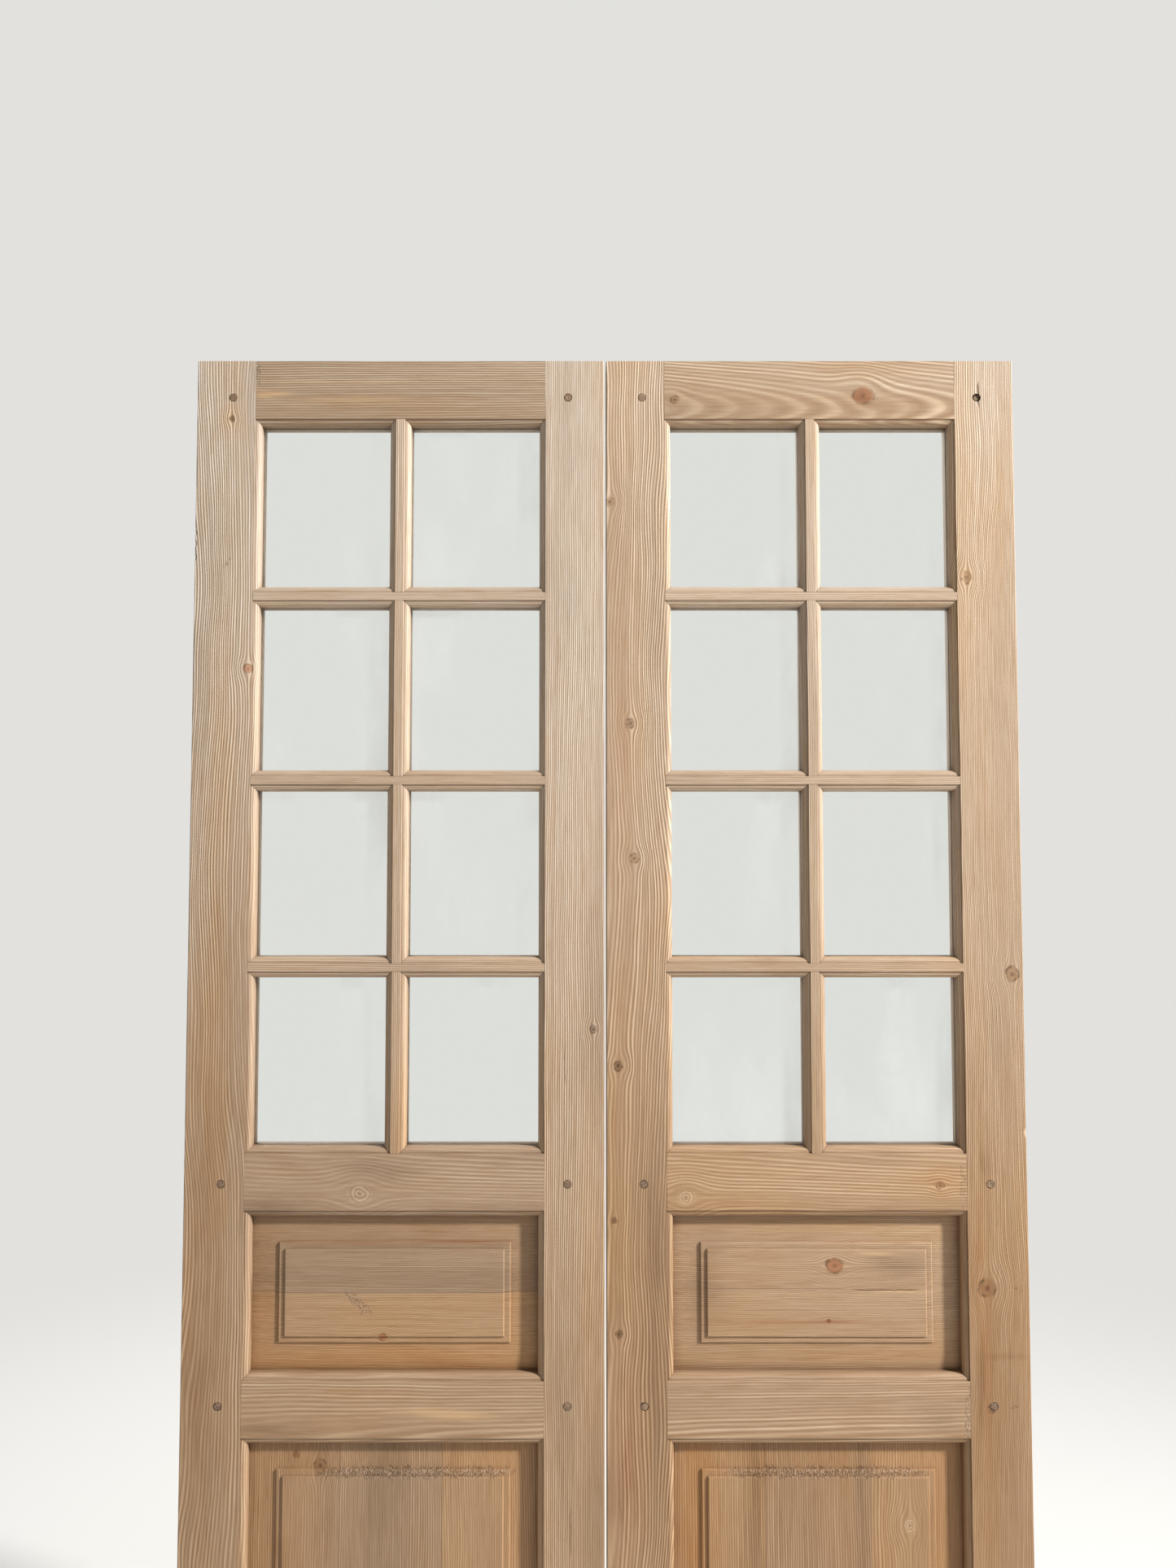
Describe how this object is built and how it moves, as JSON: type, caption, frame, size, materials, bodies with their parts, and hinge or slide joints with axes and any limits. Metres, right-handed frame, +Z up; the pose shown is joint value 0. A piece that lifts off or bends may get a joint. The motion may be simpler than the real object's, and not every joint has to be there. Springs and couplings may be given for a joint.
{
  "type": "french doors",
  "caption": "French doors in stripped pine: glazed leaves with moulded bars, raised and fielded panels below, pegged joints, and butt hinges on the outer edges.",
  "frame": {"origin": "bottom centre of the closed pair, at the middle of the leaves' thickness", "axes": "+Z up, the front faces look along -Y, the leaves open towards +Y, +X to the right as seen from the front"},
  "size_m": [1.217, 0.0546, 2.3],
  "materials": {
    "pine": "stripped, wire-brushed, unsealed",
    "peg_wood": "dark end grain",
    "glass": "clear, a little dusty",
    "hinge_iron": "dull, worn",
    "screw_steel": "dull"
  },
  "bodies": {
    "hinge_frame_side": {"left_hinge_pins": "hinge_iron", "left_top_hinge_frame_plate": "hinge_iron", "left_middle_hinge_frame_plate": "hinge_iron", "left_bottom_hinge_frame_plate": "hinge_iron", "right_hinge_pins": "hinge_iron", "right_top_hinge_frame_plate": "hinge_iron", "right_middle_hinge_frame_plate": "hinge_iron", "right_bottom_hinge_frame_plate": "hinge_iron"},
    "left_leaf": {"left_hinge_stile": "pine", "left_meeting_stile": "pine", "left_top_rail": "pine", "left_lock_rail": "pine", "left_lower_rail": "pine", "left_bottom_rail": "pine", "left_upright_bar": "pine", "left_cross_bar_1": "pine", "left_cross_bar_2": "pine", "left_cross_bar_3": "pine", "left_small_panel": "pine", "left_tall_panel": "pine", "left_glazing_beads": "pine", "left_pane_1": "glass", "left_pane_2": "glass", "left_pane_3": "glass", "left_pane_4": "glass", "left_pane_5": "glass", "left_pane_6": "glass", "left_pane_7": "glass", "left_pane_8": "glass", "left_pegs": "peg_wood", "left_hinge_screws": "screw_steel", "left_top_hinge_door_plate": "hinge_iron", "left_middle_hinge_door_plate": "hinge_iron", "left_bottom_hinge_door_plate": "hinge_iron"},
    "right_leaf": {"right_hinge_stile": "pine", "right_meeting_stile": "pine", "right_top_rail": "pine", "right_lock_rail": "pine", "right_lower_rail": "pine", "right_bottom_rail": "pine", "right_upright_bar": "pine", "right_cross_bar_1": "pine", "right_cross_bar_2": "pine", "right_cross_bar_3": "pine", "right_small_panel": "pine", "right_tall_panel": "pine", "right_glazing_beads": "pine", "right_pane_1": "glass", "right_pane_2": "glass", "right_pane_3": "glass", "right_pane_4": "glass", "right_pane_5": "glass", "right_pane_6": "glass", "right_pane_7": "glass", "right_pane_8": "glass", "right_pegs": "peg_wood", "right_hinge_screws": "screw_steel", "right_top_hinge_door_plate": "hinge_iron", "right_middle_hinge_door_plate": "hinge_iron", "right_bottom_hinge_door_plate": "hinge_iron"}
  },
  "joints": [
    {"name": "left_leaf_swing", "type": "hinge", "parent": "hinge_frame_side", "child": "left_leaf", "pos_m": [-0.6025, 0.0276, 0], "axis": [0, 0, 1], "range_deg": [0, 180]},
    {"name": "right_leaf_swing", "type": "hinge", "parent": "hinge_frame_side", "child": "right_leaf", "pos_m": [0.6025, 0.0276, 0], "axis": [0, 0, -1], "range_deg": [0, 180]}
  ]
}
